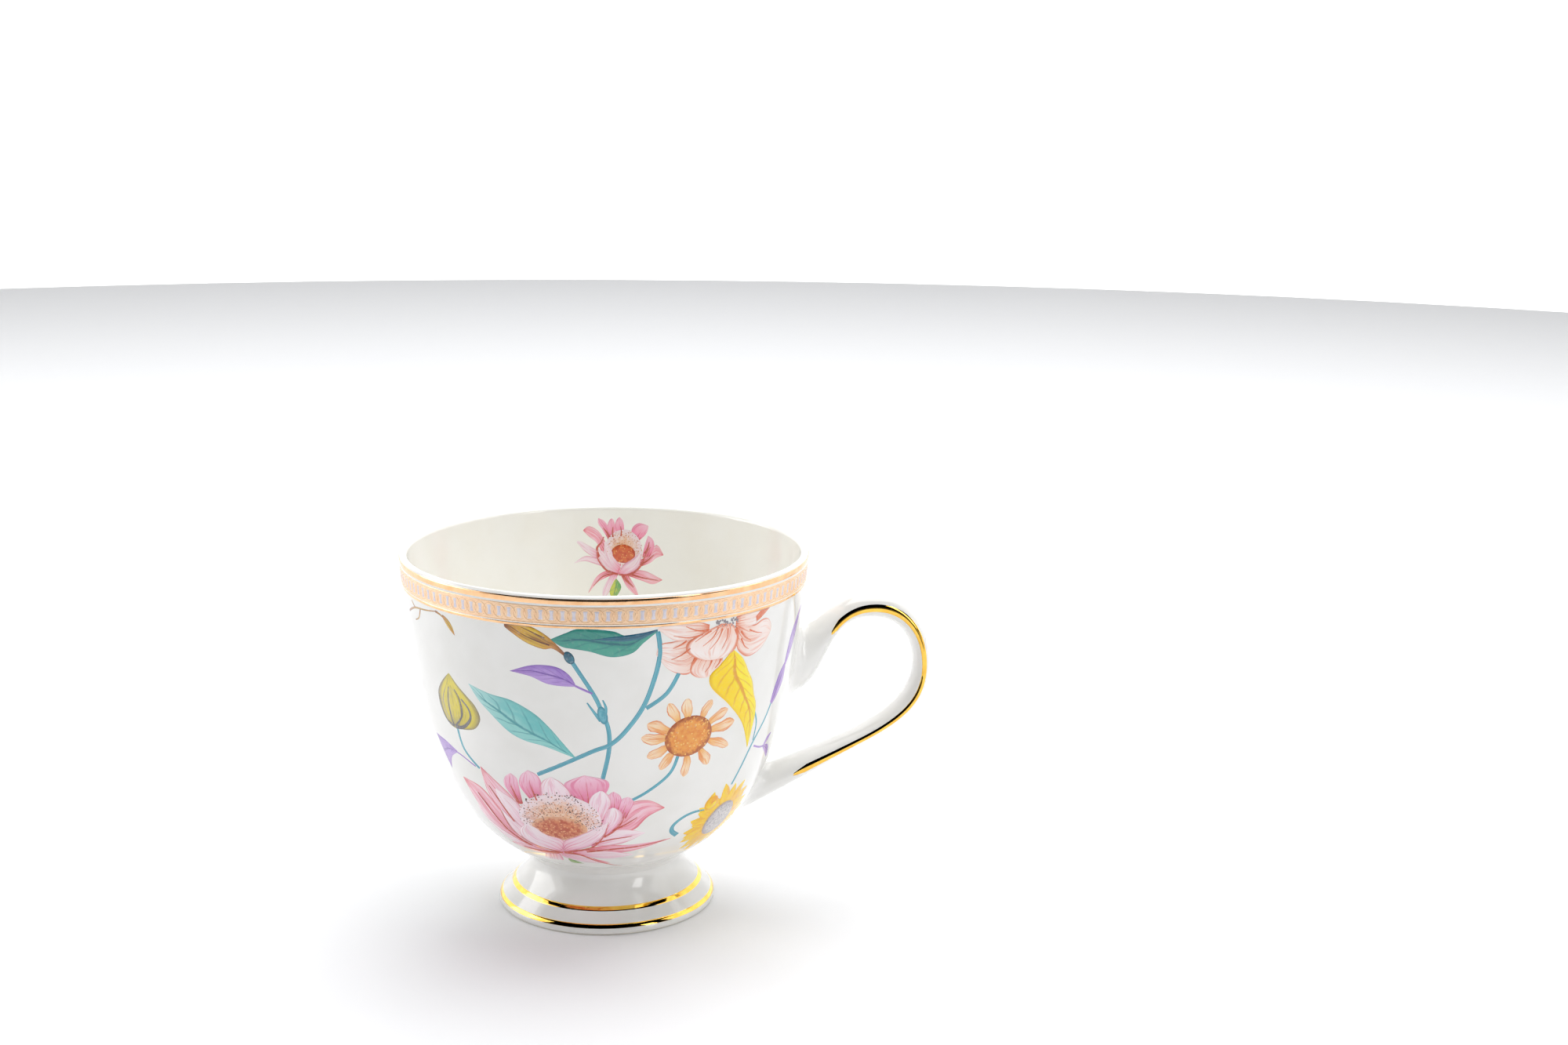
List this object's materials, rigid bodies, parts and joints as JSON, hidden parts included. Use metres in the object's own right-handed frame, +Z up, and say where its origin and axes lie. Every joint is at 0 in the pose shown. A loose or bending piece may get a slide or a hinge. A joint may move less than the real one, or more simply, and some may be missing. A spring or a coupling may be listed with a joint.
{
  "type": "teacup",
  "caption": "Footed porcelain teacup with a loop handle, gilt foot, rim and handle lines, a filigree rim band and floral enamel transfers.",
  "frame": {"origin": "centre of the foot ring's resting plane", "axes": "+Z up along the cup's axis out of the mouth, +X towards the handle, so that -Y is the side seen with the handle on the right"},
  "size_m": [0.1191, 0.0902, 0.0814],
  "materials": {
    "porcelain": "glossy clear glaze over white porcelain",
    "slip": "fine joint of fired porcelain slip under the glaze",
    "gold": "burnished bright gold",
    "band_lustre": "glossy peach-gold lustre with a silver-grey chain pattern",
    "pink_enamel": "glossy printed enamel, streaked pink",
    "russet_enamel": "glossy printed enamel, stippled russet",
    "orange_enamel": "glossy printed enamel, soft orange",
    "peach_enamel": "glossy printed enamel, pale peach wash",
    "grey_enamel": "glossy printed enamel, stippled grey",
    "yellow_enamel": "glossy printed enamel, warm yellow with brown veins",
    "olive_enamel": "glossy printed enamel, olive yellow",
    "teal_enamel": "glossy printed enamel, deep teal",
    "pale_teal_enamel": "glossy printed enamel, pale teal with dark veins",
    "purple_enamel": "glossy printed enamel, soft purple",
    "tan_enamel": "glossy printed enamel, tan",
    "stem_enamel": "glossy printed enamel, blue-green stems"
  },
  "bodies": {
    "root": {"bowl": "porcelain", "foot": "porcelain", "foot_slip_seam": "slip", "handle": "porcelain", "handle_upper_slip": "slip", "handle_lower_slip": "slip", "rim_gold_line": "gold", "filigree_band": "band_lustre", "filigree_under_line": "gold", "foot_upper_gold_line": "gold", "foot_lower_gold_line": "gold", "handle_front_gold_line": "gold", "handle_back_gold_line": "gold", "lotus_petals": "pink_enamel", "lotus_centre": "russet_enamel", "daisy_petals": "orange_enamel", "daisy_centre": "russet_enamel", "peach_blossom": "peach_enamel", "peach_stamens": "grey_enamel", "sunflower_petals": "yellow_enamel", "sunflower_centre": "grey_enamel", "yellow_leaf": "yellow_enamel", "dark_teal_leaf": "teal_enamel", "light_teal_leaf": "pale_teal_enamel", "purple_leaf": "purple_enamel", "tan_pod": "tan_enamel", "yellow_bud": "olive_enamel", "purple_spray": "purple_enamel", "side_sprig": "tan_enamel", "front_stems": "stem_enamel", "inner_blossom": "pink_enamel", "lily_petals": "yellow_enamel", "lily_centre": "russet_enamel", "lily_left_leaf": "pale_teal_enamel", "lily_right_leaf": "pale_teal_enamel", "violet_blossom": "purple_enamel", "olive_leaf": "olive_enamel", "back_daisy_petals": "orange_enamel", "back_daisy_centre": "russet_enamel", "back_bud": "pink_enamel", "back_stems": "stem_enamel"}
  },
  "joints": []
}
